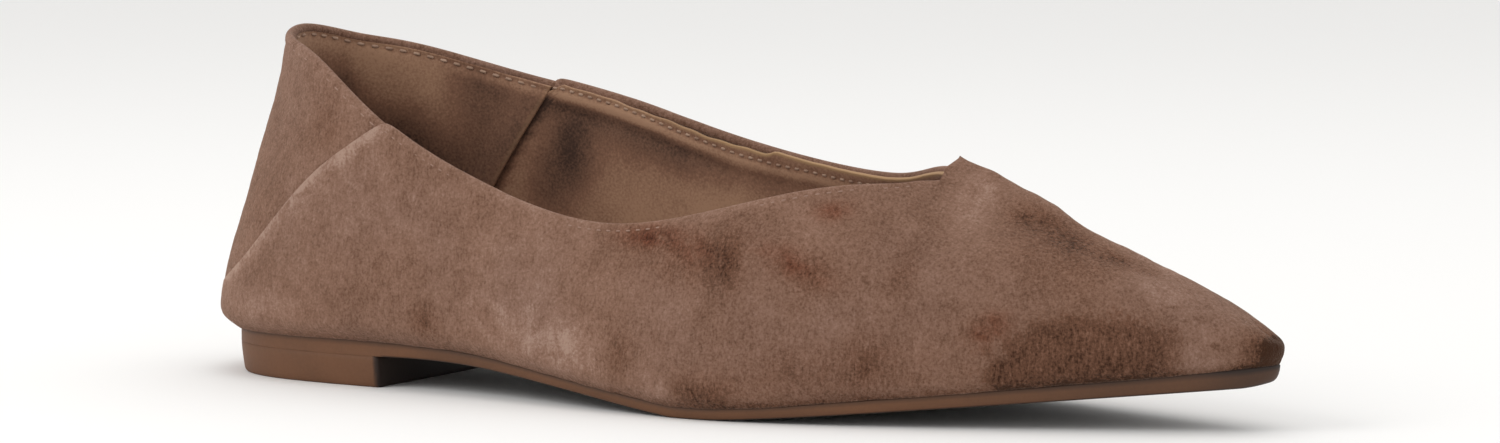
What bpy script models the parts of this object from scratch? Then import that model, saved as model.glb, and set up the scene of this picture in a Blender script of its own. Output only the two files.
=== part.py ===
"""Pointed ballet flat, right shoe: hollow suede upper, insole, outsole and low heel block.

Lengths in the tables are millimetres in the last's own frame: x runs from the heel to the toe, y is
positive on the inner side of the foot, z is the height over the floor. The finished shoe is moved so
that the middle of its footprint stands at the origin, in metres.
"""
import math

import bmesh
import bpy
import numpy as np

# Driving sizes, in millimetres
WALL = 2.2              # suede, lining and what lies between them
LAP = 0.7               # step from the vamp panel down to the back panel
GAP = 0.3               # air left between neighbouring pieces
HEEL_BLOCK = 7.3        # height of the sole's underside over the heel block
HEEL_BREAST = 55.0      # front face of the heel block
INSOLE = 2.0            # insole board with its sock
SEAM_BACK = 0.25        # height share at which the two lap seams meet on the heel's centre line
SEAM_TOP = 3.90         # station where the lap seam reaches the lateral topline
SEAM_TOP_MEDIAL = 4.20  # and the medial one
SEAM_BOW = 0.375        # how the seam bows from the heel's back to the topline
CORNER_RISE = 1.3       # how far the vamp panel's corner stands over the back panel's edge
PEAK = 11               # station of the throat's peak
TIP = 15                # station of the toe tip
PANEL_COLUMNS = 9       # columns over the back panel, each side
THROAT_COLUMNS = 29     # columns from the lap seam to the throat's peak, each side
TOE_COLUMNS = 14        # columns from there to the toe tip, each side
MM = 0.001

# Widest outline of the upper seen from above, one row for each station from heel to toe
# station: lateral x, y, tuck under to the sole, then the same on the medial side
OUTLINE = [
    (-2.4, 0.5, 4.8, -2.4, 0.5, 4.8),       # heel back
    (2.9, -16.7, 4.8, 2.8, 17.2, 4.8),      # heel round
    (14.8, -26.8, 4.6, 14.6, 26.8, 4.6),    # heel corner
    (33.0, -31.2, 4.2, 33.0, 31.0, 4.4),    # heel side
    (60.0, -32.8, 3.8, 62.0, 32.4, 5.0),    # quarter
    (88.0, -35.6, 3.6, 90.0, 32.8, 6.0),    # waist
    (115.0, -40.2, 2.9, 116.0, 33.8, 5.6),  # front of the waist
    (142.0, -43.2, 2.4, 143.0, 36.6, 3.4),  # ball
    (161.0, -41.6, 2.3, 162.0, 38.2, 2.4),  # forefoot
    (174.0, -38.8, 2.2, 175.0, 37.2, 2.2),  # throat side
    (183.0, -36.2, 2.2, 184.0, 35.6, 2.2),  # throat corner
    (192.0, -33.2, 2.2, 193.0, 33.2, 2.2),  # throat peak
    (215.0, -24.6, 2.1, 215.0, 25.4, 2.1),  # vamp
    (240.0, -14.0, 2.0, 240.0, 16.0, 2.0),  # toe shoulder
    (257.6, -6.2, 1.6, 257.2, 9.8, 1.6),    # toe corner
    (264.3, 2.2, 1.3, 264.3, 2.2, 1.3),     # toe tip
]
# Topline, one row for each station from the heel to the throat's peak
# station: lateral x, y, z, medial x, y, z
TOPLINE = [
    (14.2, 1.0, 81.4, 14.2, 1.0, 81.4),
    (17.2, -9.8, 80.2, 16.6, 11.8, 79.9),
    (24.0, -17.0, 78.2, 22.5, 18.4, 78.1),
    (37.0, -24.0, 73.2, 36.0, 24.8, 75.3),
    (59.5, -28.6, 58.6, 62.0, 29.8, 68.8),
    (88.7, -30.9, 46.9, 90.0, 31.0, 63.2),
    (116.0, -31.9, 41.3, 115.5, 30.8, 56.6),
    (140.0, -30.5, 44.3, 142.0, 29.3, 51.4),
    (160.0, -26.3, 49.2, 162.0, 24.4, 50.2),
    (174.0, -18.6, 51.2, 174.0, 18.4, 51.5),
    (184.3, -8.8, 51.8, 184.0, 9.0, 52.2),
    (188.6, 0.2, 55.5, 188.6, 0.2, 55.5),
]
# Ridge of the vamp from the throat's peak to the toe: x, y, z
RIDGE = [
    (188.6, 0.2, 55.5),
    (212.5, 0.6, 44.0),
    (238.0, 1.2, 33.8),
    (253.0, 1.8, 26.6),
    (260.6, 2.1, 20.8),
]
# Shape of each wall section: upright share at its foot, then how far its top leaves the topline or
# ridge outwards and downwards, as shares of the section's width and height
SECTION = [
    (0.18, 0.24, 0.36),
    (0.19, 0.25, 0.36),
    (0.22, 0.25, 0.35),
    (0.32, 0.25, 0.34),
    (0.42, 0.28, 0.33),
    (0.42, 0.30, 0.32),
    (0.42, 0.32, 0.30),
    (0.44, 0.36, 0.28),
    (0.47, 0.42, 0.25),
    (0.50, 0.46, 0.22),
    (0.53, 0.50, 0.22),
    (0.55, 0.50, 0.26),
    (0.58, 0.56, 0.14),
    (0.58, 0.58, 0.12),
    (0.54, 0.55, 0.16),
    (0.45, 0.45, 0.42),
]
# Underside of the outsole along the foot: x, height, slope
UNDERSIDE = [
    (-10.0, HEEL_BLOCK, 0.0),
    (66.0, HEEL_BLOCK, 0.0),
    (90.0, 6.0, -0.11),
    (119.0, 2.5, -0.145),
    (132.0, 0.5, -0.12),
    (136.0, 0.0, 0.0),
    (150.0, 0.0, 0.0),
    (172.0, 1.8, 0.092),
    (270.0, 10.7, 0.09),
]
# Thickness of the outsole along the foot: x, thickness
SOLE_THICKNESS = [(60.0, 3.2), (105.0, 2.3), (165.0, 2.4), (220.0, 3.1), (262.0, 4.2)]
# Height of the turn from the sole to the widest line: x, height
TURN = [(0.0, 4.4), (60.0, 4.8), (140.0, 4.0), (215.0, 3.6), (264.0, 3.4)]
TURN_START = math.radians(28.0)
TURN_SHARE = 0.15       # share of the wall's rows that lie in the turn
CLOSES_FROM = 5         # station from which the last begins to close over the foot
# How the last's arcs close, one row for each station from there to the throat's peak
# station: lateral x, y, z, medial x, y, z
CLOSING = [
    (88.7, -30.9, 46.9, 90.0, 31.0, 63.2),
    (113.0, -25.0, 58.0, 115.4, 30.4, 57.4),
    (135.0, -13.0, 69.8, 139.0, 23.0, 59.0),
    (154.0, -3.6, 74.0, 156.0, 9.6, 66.0),
    (168.0, 0.0, 68.0, 168.4, 1.8, 66.0),
    (178.6, 0.2, 60.3, 178.6, 0.4, 60.2),
]
CUT_STATIONS = np.linspace(CLOSES_FROM, PEAK, 241)


def spline(knots, t):
    """Natural cubic curve through the knots at 0, 1, 2 and so on, read at the places t."""
    y = np.asarray(knots, float)
    n = len(y)
    a = np.eye(n) * 4.0
    a[0, 0] = 1.0
    a[-1, -1] = 1.0
    rhs = np.zeros_like(y)
    for i in range(1, n - 1):
        a[i, i - 1] = 1.0
        a[i, i + 1] = 1.0
        rhs[i] = 6.0 * (y[i + 1] - 2.0 * y[i] + y[i - 1])
    m = np.linalg.solve(a, rhs)
    t = np.clip(np.asarray(t, float), 0.0, n - 1.0)
    i = np.minimum(t.astype(int), n - 2)
    u = t - i
    w = 1.0 - u
    if y.ndim > 1:
        u = u[..., None]
        w = w[..., None]
    bend = m[i] * (w ** 3 - w) + m[i + 1] * (u ** 3 - u)
    return w * y[i] + u * y[i + 1] + bend / 6.0


def hermite(rows, x):
    """Curve through rows of x, height and slope."""
    r = np.asarray(rows, float)
    x = np.asarray(x, float)
    i = np.clip(np.searchsorted(r[:, 0], x) - 1, 0, len(r) - 2)
    step = r[i + 1, 0] - r[i, 0]
    u = np.clip((x - r[i, 0]) / step, 0.0, 1.0)
    h1 = u * u * (3.0 - 2.0 * u)
    h2 = u * (1.0 - u) ** 2
    h3 = u * u * (u - 1.0)
    return r[i, 1] * (1.0 - h1) + r[i + 1, 1] * h1 + step * (r[i, 2] * h2 + r[i + 1, 2] * h3)


def along(rows, x):
    """Straight reading between rows of x and value."""
    r = np.asarray(rows, float)
    return np.interp(x, r[:, 0], r[:, 1])


def ring(columns_lateral, columns_medial, table):
    """Rows of a table laid out from the far lateral station, round the heel, to the medial one."""
    t = np.asarray(table, float)
    lateral = t[::-1][:, columns_lateral]
    medial = t[1:][:, columns_medial]
    return np.vstack([lateral, medial])


def closed(rows):
    """Adds a few rows over each end so that the curve stays smooth across the toe tip."""
    return np.vstack([rows[-4:-1], rows, rows[1:4]])


OUTLINE_RING = closed(ring([0, 1, 2], [3, 4, 5], OUTLINE))
TOP_RING = ring([0, 1, 2], [3, 4, 5], TOPLINE)


def outline(k, side):
    """Widest outline at station k: x, y, tuck; side is -1 lateral, +1 medial."""
    return spline(OUTLINE_RING, 3 + TIP + side * k)


def outward(k, side):
    """Level direction that points out of the shoe, square to the outline."""
    e = 0.02
    d = (outline(k + e, side) - outline(k - e, side))[..., :2]
    d = d / np.linalg.norm(d, axis=-1, keepdims=True)
    turn = side[..., None] if isinstance(side, np.ndarray) else side
    return np.stack([-d[..., 1], d[..., 0]], -1) * turn


def seam_station(v, side):
    """Station of the lap seam at height share v, a slanted line from the heel's back to the topline."""
    top = np.where(side < 0, SEAM_TOP, SEAM_TOP_MEDIAL)
    rise = np.clip((v - SEAM_BACK) / (1.0 - SEAM_BACK), 0.0, 1.0)
    return np.maximum(0.12, top * rise ** SEAM_BOW)


def underside(x):
    """Height of the outsole's lower face."""
    return hermite(UNDERSIDE, x)


def feather(x):
    """Height of the line where the upper meets the outsole."""
    return underside(x) + along(SOLE_THICKNESS, x) + GAP


def crossing(share, out):
    """Place on a cubic arc at which it has covered the given share of its width."""
    low = np.zeros_like(share)
    high = np.ones_like(share)
    for _ in range(40):
        t = (low + high) / 2.0
        done = 3 * (1.0 - t) * t * t * (1.0 - out) + t ** 3
        low = np.where(done < share, t, low)
        high = np.where(done < share, high, t)
    return (low + high) / 2.0


def middle(k, side):
    """Where the arcs of a closed last would end: on the topline at the heel, then moving in to the
    middle of the foot, which the ridge follows."""
    rear = spline(TOP_RING, PEAK + side * np.minimum(k, CLOSES_FROM))
    rows = np.asarray(CLOSING)
    place = np.clip(k - CLOSES_FROM, 0.0, TIP - CLOSES_FROM)
    lateral = spline(np.vstack([rows[:, :3], RIDGE]), place)
    medial = spline(np.vstack([rows[:, 3:], RIDGE]), place)
    front = np.where((side < 0)[..., None], lateral, medial)
    front = np.where((k < PEAK)[..., None], front, (lateral + medial) / 2.0)
    return np.where((k < CLOSES_FROM)[..., None], rear, front)


def topline_cuts(side):
    """Share of each arc's width, and the height, at which it crosses the topline."""
    walk = np.linspace(CLOSES_FROM - 1.0, PEAK, 1401)
    edge = spline(TOP_RING, PEAK + side * walk)
    share = []
    height = []
    for k in CUT_STATIONS:
        one = np.array([k])
        o = outline(one, side)[0, :2]
        d = middle(one, np.array([side]))[0, :2] - o
        off = (edge[:, 0] - o[0]) * d[1] - (edge[:, 1] - o[1]) * d[0]
        near = np.argmin(np.abs(off) + 1e3 * (np.abs(walk - k) > 2.0))
        share.append(np.dot(edge[near, :2] - o, d) / np.dot(d, d))
        height.append(edge[near, 2])
    share[0] = 1.0
    share[-1] = 1.0
    return np.minimum(share, 1.0), np.array(height)


def section(k, side):
    """Start, top and end of the arc over station k. Behind the throat the arc is that of a closed last,
    and ends where it crosses the topline."""
    o = outline(k, side)
    shape = spline(SECTION, k)
    start = np.concatenate([o[..., :2], (feather(o[..., 0]) + along(TURN, o[..., 0]))[..., None]], -1)
    cuts = {}
    for one in (-1, 1):
        share, height = CUTS[one]
        cuts[one] = (np.interp(k, CUT_STATIONS, share), np.interp(k, CUT_STATIONS, height))
    share = np.where(side < 0, cuts[-1][0], cuts[1][0])
    height = np.where(side < 0, cuts[-1][1], cuts[1][1])
    top = middle(k, side)
    height = np.where((k < CLOSES_FROM) | (k > PEAK), top[..., 2], height)
    end = crossing(share, shape[..., 1])
    risen = 3 * (1 - end) ** 2 * end * shape[..., 0] + 3 * (1 - end) * end ** 2 * (1 - shape[..., 2]) + end ** 3
    top[..., 2] = start[..., 2] + (height - start[..., 2]) / risen
    return start, top, end, shape


CUTS = {one: topline_cuts(one) for one in (-1, 1)}


def wall(k, v, side):
    """Outer face of the upper: a quarter turn from the sole to the widest line, then a cubic arc to
    the topline or ridge."""
    o = outline(k, side)
    n = outward(k, side)
    foot_z = feather(o[..., 0])
    turn = along(TURN, o[..., 0])
    share = np.clip(v / TURN_SHARE, 0.0, 1.0)
    a = TURN_START + share * (math.pi / 2.0 - TURN_START)
    inset = o[..., 2] * (1.0 - np.sin(a)) / (1.0 - math.sin(TURN_START))
    rise = turn * (math.cos(TURN_START) - np.cos(a)) / math.cos(TURN_START)
    low = np.concatenate([o[..., :2] - n * inset[..., None], (foot_z + rise)[..., None]], -1)

    start, top, end, shape = section(k, side)
    reach = start - top
    first = start.copy()
    first[..., 2] -= reach[..., 2] * shape[..., 0]
    second = top.copy()
    second[..., :2] += reach[..., :2] * shape[..., 1:2]
    second[..., 2] += reach[..., 2] * shape[..., 2]
    t = (np.clip((v - TURN_SHARE) / (1.0 - TURN_SHARE), 0.0, 1.0) * end)[..., None]
    s = 1.0 - t
    high = s ** 3 * start + 3 * s * s * t * first + 3 * s * t * t * second + t ** 3 * top
    return np.where((v < TURN_SHARE)[..., None], low, high)


def outward_normal(k, v, side):
    """Unit normal of the wall, pointing out of the shoe."""
    e = 0.004
    dk = wall(k + e, v, side) - wall(k - e, v, side)
    dv = wall(k, np.minimum(v + e, 1.0), side) - wall(k, np.maximum(v - e, 0.0), side)
    n = np.cross(dk, dv) * -np.asarray(side, float)[..., None]
    return n / np.linalg.norm(n, axis=-1, keepdims=True)


def columns():
    """Stations of the columns at the topline, from heel to toe: the back panel's, then the rest."""
    panel = np.linspace(0.0, 1.0, PANEL_COLUMNS)
    to_peak = np.linspace(0.0, 1.0, THROAT_COLUMNS + 1)[1:]
    to_tip = np.linspace(0.0, 1.0, TOE_COLUMNS + 1)[1:]
    return panel, to_peak, PEAK + (TIP - PEAK) * to_tip


def stations(v, side):
    """Station of every column at height share v; the columns behind the ball lean with the seam."""
    panel, to_peak, to_tip = columns()
    seam = float(seam_station(np.array(v), np.array(side)))
    home = float(seam_station(np.array(1.0), np.array(side)))
    front = np.concatenate([[home], home + (PEAK - home) * to_peak, to_tip])
    reach = np.clip((9.0 - front) / (9.0 - home), 0.0, 1.0)
    front = front - (home - seam) * reach
    return np.concatenate([panel * seam, front + np.where(reach == 1.0, 0.012, 0.0)])


ROWS = np.array([0.0, 0.05, 0.10, 0.15, 0.20, 0.25, 0.262, 0.30, 0.35, 0.42, 0.50, 0.60, 0.70, 0.80, 0.90, 1.0])


def upper_grids():
    """Outer and inner face of the upper, as rows of points round the shoe from toe tip to toe tip."""
    outer = []
    inner = []
    for v in ROWS:
        row_out = []
        row_in = []
        for side in (-1, 1):
            k = stations(v, side)
            vv = np.full_like(k, v)
            ss = np.full_like(k, side)
            p = wall(k, vv, ss)
            n = outward_normal(k, vv, ss)
            ridge = (k >= PEAK - 1e-6) & (v > 0.999)
            if ridge.any():
                run = middle(k + 0.01, ss) - middle(np.maximum(k - 0.01, PEAK), ss)
                run = run / np.linalg.norm(run, axis=-1, keepdims=True)
                up = np.array([0.0, 0.0, 1.0]) - run * run[:, 2:3]
                up = up / np.linalg.norm(up, axis=-1, keepdims=True)
                n = np.where(ridge[:, None], up, n)
            lap = np.where((np.arange(len(k)) < PANEL_COLUMNS) & (v > SEAM_BACK), LAP, 0.0)
            past = np.arange(len(k)) - PANEL_COLUMNS
            corner = CORNER_RISE * np.clip(1.0 - past / 5.0, 0.0, 1.0) * (past >= 0)
            lift = corner * np.clip((v - 0.8) / 0.2, 0.0, 1.0)
            q = p - n * lap[:, None]
            i = p - n * WALL
            if v == 0.0:
                flat = outward(k, ss)
                i = p.copy()
                i[:, :2] -= flat * WALL
            q[:, 2] += lift
            i[:, 2] += lift
            row_out.append(q)
            row_in.append(i)
        outer.append(np.vstack([row_out[0][::-1], row_out[1][1:-1]]))
        inner.append(np.vstack([row_in[0][::-1], row_in[1][1:-1]]))
    return np.array(outer), np.array(inner)


def sheet_edges(inset, front):
    """Lateral and medial edge of the sole's outline up to station front, moved inwards by inset."""
    k = np.concatenate([np.linspace(0.0, 2.0, 12)[:-1], np.linspace(2.0, 13.0, 28)[:-1],
                        np.linspace(13.0, front, 8)])
    edges = []
    for side in (-1, 1):
        ss = np.full_like(k, side)
        o = outline(k, ss)
        n = outward(k, ss)
        edges.append(o[:, :2] - n * (o[:, 2:3] + inset))
    for end in (0, -1) if front == TIP else (0,):
        meet = (edges[0][end] + edges[1][end]) / 2.0
        edges[0][end] = meet
        edges[1][end] = meet
    return edges


def sheet_grid(inset, height, front, across=6):
    """Points over the whole foot between the two edges; height gives z from x."""
    lateral, medial = sheet_edges(inset, front)
    share = np.linspace(0.0, 1.0, across + 1)[None, :, None]
    plan = lateral[:, None] * (1.0 - share) + medial[:, None] * share
    return np.concatenate([plan, height(plan[..., 0])[..., None]], -1)


def add_object(name, vertices, faces, material):
    """One closed mesh object, in metres about the footprint's middle, faces outwards."""
    mesh = bpy.data.meshes.new(name)
    points = (np.asarray(vertices) - CENTRE) * MM
    mesh.from_pydata(points.tolist(), [], faces)
    bm = bmesh.new()
    bm.from_mesh(mesh)
    bmesh.ops.remove_doubles(bm, verts=bm.verts, dist=2e-6)
    bmesh.ops.dissolve_degenerate(bm, edges=bm.edges, dist=1e-7)
    bmesh.ops.triangulate(bm, faces=bm.faces)
    bmesh.ops.recalc_face_normals(bm, faces=bm.faces)
    bm.to_mesh(mesh)
    bm.free()
    mesh.materials.append(material)
    for polygon in mesh.polygons:
        polygon.use_smooth = False
    obj = bpy.data.objects.new(name, mesh)
    bpy.context.scene.collection.objects.link(obj)
    return obj


def add_material(name, colour, roughness):
    """Plain surface in one colour."""
    material = bpy.data.materials.new(name)
    material.use_nodes = True
    shader = material.node_tree.nodes["Principled BSDF"]
    shader.inputs["Base Color"].default_value = (*colour, 1.0)
    shader.inputs["Roughness"].default_value = roughness
    return material


def make_upper(outer, inner, material):
    """Hollow upper: outer and inner face joined by the topline's rim and by the foot's rim."""
    rows, count = outer.shape[:2]
    points = np.concatenate([outer.reshape(-1, 3), inner.reshape(-1, 3)])

    def at(face, j, i):
        return face * rows * count + j * count + i % count

    faces = []
    for i in range(count):
        for j in range(rows - 1):
            faces.append((at(0, j, i), at(0, j, i + 1), at(0, j + 1, i + 1), at(0, j + 1, i)))
            faces.append((at(1, j, i), at(1, j + 1, i), at(1, j + 1, i + 1), at(1, j, i + 1)))
        faces.append((at(0, 0, i + 1), at(0, 0, i), at(1, 0, i), at(1, 0, i + 1)))
        from_tip = min(i, count - 1 - i)
        if from_tip >= TOE_COLUMNS:
            j = rows - 1
            faces.append((at(0, j, i), at(0, j, i + 1), at(1, j, i + 1), at(1, j, i)))
    return add_object("upper", points, faces, material)


def make_sheet(name, insets, heights, front, material):
    """Sheet over the whole foot between two height functions, each face with its own inset."""
    upper_face = sheet_grid(insets[0], heights[0], front)
    lower_face = sheet_grid(insets[1], heights[1], front)
    rows, count = upper_face.shape[:2]
    points = np.concatenate([upper_face.reshape(-1, 3), lower_face.reshape(-1, 3)])

    def at(face, j, i):
        return face * rows * count + j * count + i

    faces = []
    for j in range(rows - 1):
        for i in range(count - 1):
            faces.append((at(0, j, i), at(0, j + 1, i), at(0, j + 1, i + 1), at(0, j, i + 1)))
            faces.append((at(1, j, i), at(1, j, i + 1), at(1, j + 1, i + 1), at(1, j + 1, i)))
        for i in (0, count - 1):
            faces.append((at(0, j, i), at(1, j, i), at(1, j + 1, i), at(0, j + 1, i)))
    if front < TIP:
        j = rows - 1
        for i in range(count - 1):
            faces.append((at(0, j, i), at(1, j, i), at(1, j, i + 1), at(0, j, i + 1)))
    return add_object(name, points, faces, material)


def make_heel(material):
    """Low D-shaped block under the heel seat, with a straight front and a rounded lower edge."""
    k = np.linspace(0.0, 3.9, 26)
    # height share, how far the face stands in from the sole's edge
    levels = [(1.0, 0.3), (0.45, 0.45), (0.12, 0.65), (0.03, 0.95), (0.0, 1.4)]
    rings = []
    for share, inset in levels:
        sides = []
        for side in (-1, 1):
            ss = np.full_like(k, side)
            o = outline(k, ss)
            n = outward(k, ss)
            edge = o[:, :2] - n * (o[:, 2:3] + inset)
            keep = edge[:, 0] < HEEL_BREAST - 1.5
            body = edge[keep]
            last = np.array([[HEEL_BREAST - 0.4 * inset, np.interp(HEEL_BREAST, edge[:, 0], edge[:, 1])]])
            sides.append(np.vstack([body[:24], last]))
        loop = np.vstack([sides[0][::-1], sides[1][1:]])
        z = np.full((len(loop), 1), share * (HEEL_BLOCK - GAP))
        rings.append(np.hstack([loop, z]))
    count = len(rings[0])
    points = np.vstack(rings)
    faces = []
    for j in range(len(rings) - 1):
        for i in range(count):
            n = (i + 1) % count
            faces.append((j * count + i, j * count + n, (j + 1) * count + n, (j + 1) * count + i))
    faces.append(tuple(range(count)))
    faces.append(tuple((len(rings) - 1) * count + i for i in reversed(range(count))))
    return add_object("heel", points, faces, material)


for old in list(bpy.data.objects):
    bpy.data.objects.remove(old, do_unlink=True)

OUTER, INNER = upper_grids()
LOW_CORNER = OUTER.reshape(-1, 3).min(0)
HIGH_CORNER = OUTER.reshape(-1, 3).max(0)
CENTRE = np.array([(LOW_CORNER[0] + HIGH_CORNER[0]) / 2, (LOW_CORNER[1] + HIGH_CORNER[1]) / 2, 0.0])

suede = add_material("suede", (0.24, 0.137, 0.1), 0.95)
lining = add_material("insole_leather", (0.25, 0.15, 0.105), 0.7)
rubber = add_material("sole_rubber", (0.16, 0.083, 0.052), 0.6)
stack = add_material("heel_rubber", (0.165, 0.085, 0.052), 0.55)

make_upper(OUTER, INNER, suede)
make_sheet("insole", (WALL + GAP, WALL + GAP), (lambda x: feather(x) + INSOLE, feather), 14.2, lining)
make_sheet("outsole", (-0.2, 0.5), (lambda x: feather(x) - GAP, underside), float(TIP), rubber)
make_heel(stack)
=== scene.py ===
import math

import bmesh
import bpy
import numpy as np
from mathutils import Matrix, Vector


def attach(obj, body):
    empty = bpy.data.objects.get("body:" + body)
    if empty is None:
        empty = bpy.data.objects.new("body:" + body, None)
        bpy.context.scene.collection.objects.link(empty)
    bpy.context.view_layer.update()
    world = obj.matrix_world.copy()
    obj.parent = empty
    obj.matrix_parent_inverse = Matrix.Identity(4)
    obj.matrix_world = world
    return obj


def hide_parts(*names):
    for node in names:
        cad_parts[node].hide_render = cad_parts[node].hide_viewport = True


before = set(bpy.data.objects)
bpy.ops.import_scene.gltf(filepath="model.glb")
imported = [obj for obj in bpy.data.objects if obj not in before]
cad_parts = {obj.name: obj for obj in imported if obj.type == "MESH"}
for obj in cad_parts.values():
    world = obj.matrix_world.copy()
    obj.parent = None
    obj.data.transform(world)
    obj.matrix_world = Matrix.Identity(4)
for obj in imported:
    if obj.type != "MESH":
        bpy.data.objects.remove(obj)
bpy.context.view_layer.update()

# Heel block
# A low D-shaped block of moulded brown rubber, glued under the heel seat of the outsole. Its wall draws
# in a little towards the floor and ends in a rounded lower edge. Its front face, the breast, is painted dark:
# painted shade for the shadow under the arch.
MIDDLE = np.array([130.95, -2.487, 0.0])    # middle of the footprint on the last, in millimetres
TIP = 15                                    # station of the toe tip; station 0 is the heel's back
HEEL_BREAST = 55.0
HEEL_POINTS = 240                           # points in each ring round the block
CAP_SHARES = (0.0, 0.3, 0.65, 0.9)          # rings of its upper and lower face, as shares of its width
# widest line of the upper seen from above: lateral x, y, tuck under to the sole, then the medial side
OUTLINE = [
    (-2.4, 0.5, 4.8, -2.4, 0.5, 4.8),
    (2.9, -16.7, 4.8, 2.8, 17.2, 4.8),
    (14.8, -26.8, 4.6, 14.6, 26.8, 4.6),
    (33.0, -31.2, 4.2, 33.0, 31.0, 4.4),
    (60.0, -32.8, 3.8, 62.0, 32.4, 5.0),
    (88.0, -35.6, 3.6, 90.0, 32.8, 6.0),
    (115.0, -40.2, 2.9, 116.0, 33.8, 5.6),
    (142.0, -43.2, 2.4, 143.0, 36.6, 3.4),
    (161.0, -41.6, 2.3, 162.0, 38.2, 2.4),
    (174.0, -38.8, 2.2, 175.0, 37.2, 2.2),
    (183.0, -36.2, 2.2, 184.0, 35.6, 2.2),
    (192.0, -33.2, 2.2, 193.0, 33.2, 2.2),
    (215.0, -24.6, 2.1, 215.0, 25.4, 2.1),
    (240.0, -14.0, 2.0, 240.0, 16.0, 2.0),
    (257.6, -6.2, 1.6, 257.2, 9.8, 1.6),
    (264.3, 2.2, 1.3, 264.3, 2.2, 1.3),
]
# face of the block: how far it stands in from the sole's edge, height over the floor
HEEL_FACE = [
    (-0.1, 7.34), (-0.06, 6.2), (0.04, 5.0), (0.2, 3.6), (0.4, 2.0), (0.55, 1.0), (0.75, 0.4), (1.05, 0.1),
    (1.4, 0.0),
]


def spline(knots, t):
    """Natural cubic curve through knots at 0, 1, 2 and so on, read at the places t."""
    y = np.asarray(knots, float)
    n = len(y)
    a = np.diag(np.full(n, 4.0)) + np.diag(np.ones(n - 1), 1) + np.diag(np.ones(n - 1), -1)
    a[0, :2] = (1.0, 0.0)
    a[-1, -2:] = (0.0, 1.0)
    bent = np.zeros_like(y)
    bent[1:-1] = 6.0 * (y[2:] - 2.0 * y[1:-1] + y[:-2])
    m = np.linalg.solve(a, bent)
    t = np.clip(np.asarray(t, float), 0.0, n - 1.0)
    i = np.minimum(t.astype(int), n - 2)
    u = t - i
    if y.ndim > 1:
        u = u[..., None]
    w = 1.0 - u
    return w * y[i] + u * y[i + 1] + (m[i] * (w ** 3 - w) + m[i + 1] * (u ** 3 - u)) / 6.0


def ring(table):
    """Rows of a lateral and medial table round the heel, from the last lateral to the last medial one."""
    t = np.asarray(table, float)
    return np.vstack([t[::-1, :3], t[1:, 3:]])


OUTLINE_RING = ring(OUTLINE)
OUTLINE_RING = np.vstack([OUTLINE_RING[-4:-1], OUTLINE_RING, OUTLINE_RING[1:4]])


def outline(k, side):
    """Widest line at station k as x, y and tuck; side is -1 on the lateral and +1 on the medial side."""
    return spline(OUTLINE_RING, 3 + TIP + side * k)


def unit(d):
    """The same directions with a length of one."""
    return d / np.linalg.norm(d, axis=-1, keepdims=True)


def outward(k, side):
    """Level direction out of the shoe, square to the outline."""
    d = unit((outline(k + 0.02, side) - outline(k - 0.02, side))[..., :2])
    return np.stack([-d[..., 1], d[..., 0]], -1) * np.asarray(side, float)[..., None]


def sole_edge(k, side, inset, tuck_share=1.0):
    """Outline moved in level by a share of its tuck and by inset more."""
    o = outline(k, side)
    return o[..., :2] - outward(k, side) * (tuck_share * o[..., 2:] + inset)


def heel_ring(inset):
    """D-shaped loop: the sole's edge round the heel, closed by the straight breast, in even steps and with
    its corners softened by averaging neighbours."""
    k = np.linspace(0.0, 4.2, 600)
    sides = [sole_edge(k, side, inset) for side in (-1, 1)]
    lateral, medial = [edge[edge[:, 0] < HEEL_BREAST - 0.4 * inset] for edge in sides]
    loop = np.vstack([lateral[::-1], medial[1:], lateral[-1:]])
    run = np.concatenate([[0.0], np.cumsum(np.linalg.norm(np.diff(loop, axis=0), axis=1))])
    at = np.linspace(0.0, run[-1], HEEL_POINTS, endpoint=False)
    even = np.stack([np.interp(at, run, loop[:, i]) for i in (0, 1)], -1)
    for _ in range(2):
        even = (np.roll(even, 1, 0) + 2.0 * even + np.roll(even, -1, 0)) / 4.0
    return even


def heel_cap(rim):
    """Rings from the middle of a loop out towards it: middle + share * (loop - middle)."""
    return [rim.mean(0) + share * (rim - rim.mean(0)) for share in CAP_SHARES]


def ease(x):
    """Smooth step from 0 to 1."""
    x = np.clip(x, 0.0, 1.0)
    return x * x * (3.0 - 2.0 * x)


def grid_faces(rows, columns, first=0, around=False):
    """Quads between neighbouring rows and columns of points that are numbered row by row."""
    j, i = np.mgrid[0:rows - 1, 0:columns if around else columns - 1]
    n = (i + 1) % columns
    quads = np.stack([j * columns + i, j * columns + n, (j + 1) * columns + n, (j + 1) * columns + i], -1)
    return first + quads.reshape(-1, 4)


def add_object(name, data):
    """Object in the scene for a mesh, a lamp or a camera."""
    obj = bpy.data.objects.new(name, data)
    bpy.context.scene.collection.objects.link(obj)
    return obj


def add_piece(name, points, faces, material, values=None):
    """Mesh object from points in the last's millimetres; meeting points are joined, faces turned outwards."""
    mesh = bpy.data.meshes.new(name)
    mesh.from_pydata(((points.reshape(-1, 3) - MIDDLE) * 0.001).tolist(), [], faces.tolist())
    for label, data in (values or {}).items():
        layer = mesh.attributes.new(label, "FLOAT", "POINT")
        layer.data.foreach_set("value", np.asarray(data, np.float32).ravel())
    welded = bmesh.new()
    welded.from_mesh(mesh)
    bmesh.ops.remove_doubles(welded, verts=welded.verts, dist=4e-6)
    bmesh.ops.recalc_face_normals(welded, faces=welded.faces)
    welded.to_mesh(mesh)
    welded.free()
    mesh.materials.append(material)
    mesh.shade_smooth()
    obj = add_object(name, mesh)
    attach(obj, "root")
    return obj


def new_material(name):
    """Material with nodes of its own."""
    material = bpy.data.materials.new(name)
    material.use_nodes = True
    return material


def linear(code):
    """sRGB hex value as the linear colour that shaders take."""
    c = np.array([int(code[i:i + 2], 16) for i in (1, 3, 5)]) / 255.0
    return (*np.where(c <= 0.04045, c / 12.92, ((c + 0.055) / 1.055) ** 2.4).tolist(), 1.0)


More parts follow.
